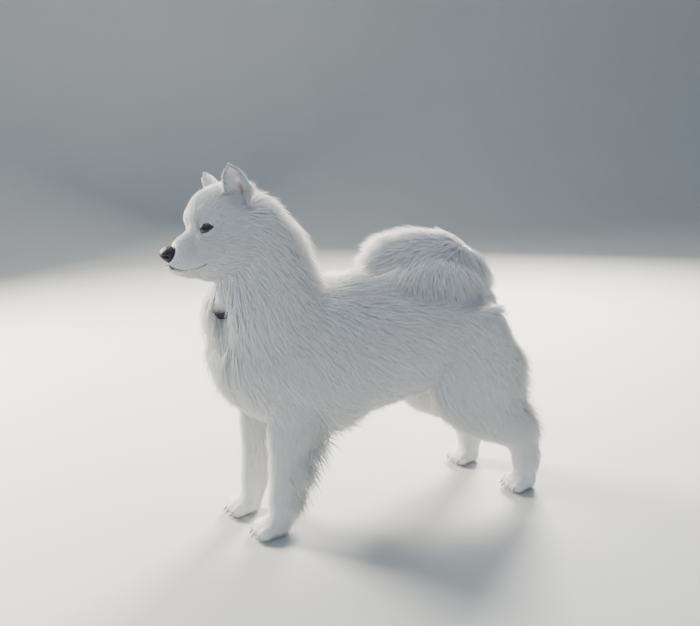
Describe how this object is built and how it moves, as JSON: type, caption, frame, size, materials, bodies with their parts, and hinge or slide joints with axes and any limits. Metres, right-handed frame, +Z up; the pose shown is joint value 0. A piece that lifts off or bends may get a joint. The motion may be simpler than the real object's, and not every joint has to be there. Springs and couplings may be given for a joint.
{
  "type": "standing samoyed dog",
  "caption": "Life-size standing spitz dog with a long white coat, pricked ears, tail curled over its back and a thin collar.",
  "frame": {"origin": "on the floor, under the middle of the dog's length and width", "axes": "+Z up, the dog faces -X with its left side towards -Y"},
  "size_m": [0.7968, 0.3036, 0.7576],
  "materials": {
    "coat": "long soft hair",
    "eye": "wet gloss",
    "nose": "moist pebbled skin",
    "collar": "woven strap"
  },
  "bodies": {
    "root": {"head": "coat", "neck": "coat", "torso": "coat", "tail": "coat", "foreleg_left": "coat", "foreleg_right": "coat", "hindleg_left": "coat", "hindleg_right": "coat", "ear_left": "coat", "ear_right": "coat", "eye_left": "eye", "eye_right": "eye", "nose": "nose", "collar": "collar"}
  },
  "joints": []
}
